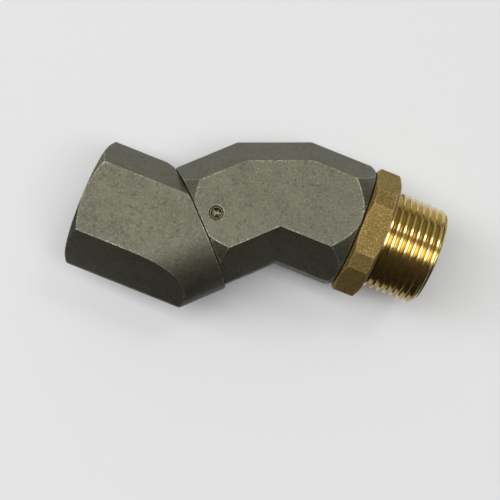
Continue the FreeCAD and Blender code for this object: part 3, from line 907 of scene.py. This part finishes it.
class SWIVEL_OT_stage(bpy.types.Operator):
    """Pale floor, soft lamps and the camera"""
    bl_idname = "swivel.stage"
    bl_label = "Stage"

    def execute(self, context):
        lay_floor()
        world = bpy.data.worlds.new("studio")
        world.use_nodes = True
        surroundings = (0.094, 0.096, 0.083)
        world.node_tree.nodes["Background"].inputs["Color"].default_value = rgba(surroundings)
        context.scene.world = world
        along = mount("outlet_thread")["axis"]
        # The overhead lamp is long, so that it draws a row of highlights on the thread's crests and one on
        # its flanks. The bounce lights the bevels at the back, the window the faces that look up and right.
        softbox("softbox", (-0.27, 0.02, 1.0), along, (4.6, 0.9), 57.0, (1.0, 1.0, 1.0))
        softbox("bounce", (0.1, 0.75, 0.65), along, (4.4, 2.2), 9.0, (0.97, 1.0, 0.74))
        lamp("window", (0.37, 0.38, 0.85), 12, 0.24, (1.0, 0.985, 0.98))
        stand_flag()
        place_camera(context.scene)
        context.scene.view_settings.view_transform = "Standard"
        return {"FINISHED"}


def lay_floor():
    """Pale, matt floor at the level of the fitting's lowest point."""
    half = 12.0
    low = cad_box[0][2]
    floor = bpy.data.meshes.new("floor")
    floor.from_pydata([(-half, -half, low), (half, -half, low), (half, half, low), (-half, half, low)], [],
                      [(0, 1, 2, 3)])
    ground = bpy.data.objects.new("floor", floor)
    material, tree = start_material("floor_paint")[:2]
    end_material(tree, Base_Color=rgba(colours().floor), Roughness=0.9, Specular_IOR_Level=0.1)
    floor.materials.append(material)
    bpy.context.scene.collection.objects.link(ground)


def stand_flag():
    """A black card, bent once, that stands to the left and in front of the fitting, out of the camera's
    sight, and keeps its low sides dark."""
    left = -78 * MM
    right = 120 * MM
    front = -41 * MM
    back = 20 * MM
    height = 90 * MM
    outline = ((left, back), (left, front), (right, front))
    card = bpy.data.meshes.new("flag")
    card.from_pydata([(x, y, z) for z in (0, height) for x, y in outline], [], [(0, 1, 4, 3), (1, 2, 5, 4)])
    flag = bpy.data.objects.new("flag", card)
    material, tree = start_material("black_cotton_velvet")[:2]
    end_material(tree, Base_Color=rgba(linear("242422")), Roughness=1.0, Specular_IOR_Level=0.0)
    card.materials.append(material)
    bpy.context.scene.collection.objects.link(flag)
    flag.visible_camera = False
    flag.visible_shadow = False
    flag.visible_diffuse = False


def softbox(name, towards, along, sides, power, tint):
    """A rectangular lamp that faces the fitting, with its long side along a direction."""
    distance = 2.0
    data = bpy.data.lights.new(name, "AREA")
    data.shape = "RECTANGLE"
    data.size, data.size_y = sides
    data.energy = power
    data.color = tint
    up = Vector(towards).normalized()
    side = (Vector(along) - up * up.dot(Vector(along))).normalized()
    turn = Matrix((side, up.cross(side), up)).transposed()
    piece = bpy.data.objects.new(name, data)
    piece.matrix_world = Matrix.Translation(up * distance) @ turn.to_4x4()
    piece.visible_camera = False
    bpy.context.scene.collection.objects.link(piece)


def lamp(name, towards, spread, strength, tint):
    """A distant lamp in a direction, seen as a disc so many degrees wide."""
    data = bpy.data.lights.new(name, "SUN")
    data.energy = strength
    data.color = tint
    data.angle = math.radians(spread)
    piece = bpy.data.objects.new(name, data)
    piece.matrix_world = Vector(towards).to_track_quat("Z", "Y").to_matrix().to_4x4()
    bpy.context.scene.collection.objects.link(piece)


def place_camera(scene):
    """Camera at the photograph's angle, aimed past the bend of the elbow."""
    tilt = math.radians(5.745)
    side = math.radians(-3.6)
    roll = math.radians(-0.553)
    bend = Vector((0, 0, 16.0)) * MM
    offset = Vector((-6.444, -14.269, 275.056)) * MM
    turn = Matrix.Rotation(tilt, 3, "X") @ Matrix.Rotation(side, 3, "Y") @ Matrix.Rotation(roll, 3, "Z")
    data = bpy.data.cameras.new("camera")
    data.lens = 75.0
    data.sensor_width = 36.0
    piece = bpy.data.objects.new("camera", data)
    piece.matrix_world = Matrix.Translation(bend + turn @ offset) @ turn.to_4x4()
    data.clip_start = 0.01
    scene.collection.objects.link(piece)
    scene.camera = piece


class SWIVEL_PT_panel(bpy.types.Panel):
    """Sizes, colours and the steps that build the fitting"""
    bl_label = "Fuel swivel fitting"
    bl_space_type = "VIEW_3D"
    bl_region_type = "UI"
    bl_category = "Swivel"

    def draw(self, context):
        for group in (context.scene.swivel_sizes, context.scene.swivel_colours):
            box = self.layout.box()
            for name in group.__annotations__:
                box.prop(group, name)
        for kind in STEPS:
            self.layout.operator(kind.bl_idname)


STEPS = [SWIVEL_OT_inlet, SWIVEL_OT_elbow, SWIVEL_OT_outlet, SWIVEL_OT_balls, SWIVEL_OT_plugs,
         SWIVEL_OT_seals, SWIVEL_OT_stage]
CLASSES = [SwivelSizes, SwivelColours, *STEPS, SWIVEL_PT_panel]


def register():
    for kind in CLASSES:
        bpy.utils.register_class(kind)
    bpy.types.Scene.swivel_sizes = PointerProperty(type=SwivelSizes)
    bpy.types.Scene.swivel_colours = PointerProperty(type=SwivelColours)


def unregister():
    del bpy.types.Scene.swivel_colours
    del bpy.types.Scene.swivel_sizes
    for kind in reversed(CLASSES):
        bpy.utils.unregister_class(kind)


def main():
    register()
    bpy.ops.swivel.inlet()
    bpy.ops.swivel.elbow()
    bpy.ops.swivel.outlet()
    bpy.ops.swivel.balls()
    bpy.ops.swivel.plugs()
    bpy.ops.swivel.seals()
    bpy.ops.swivel.stage()


if __name__ == "__main__":
    main()
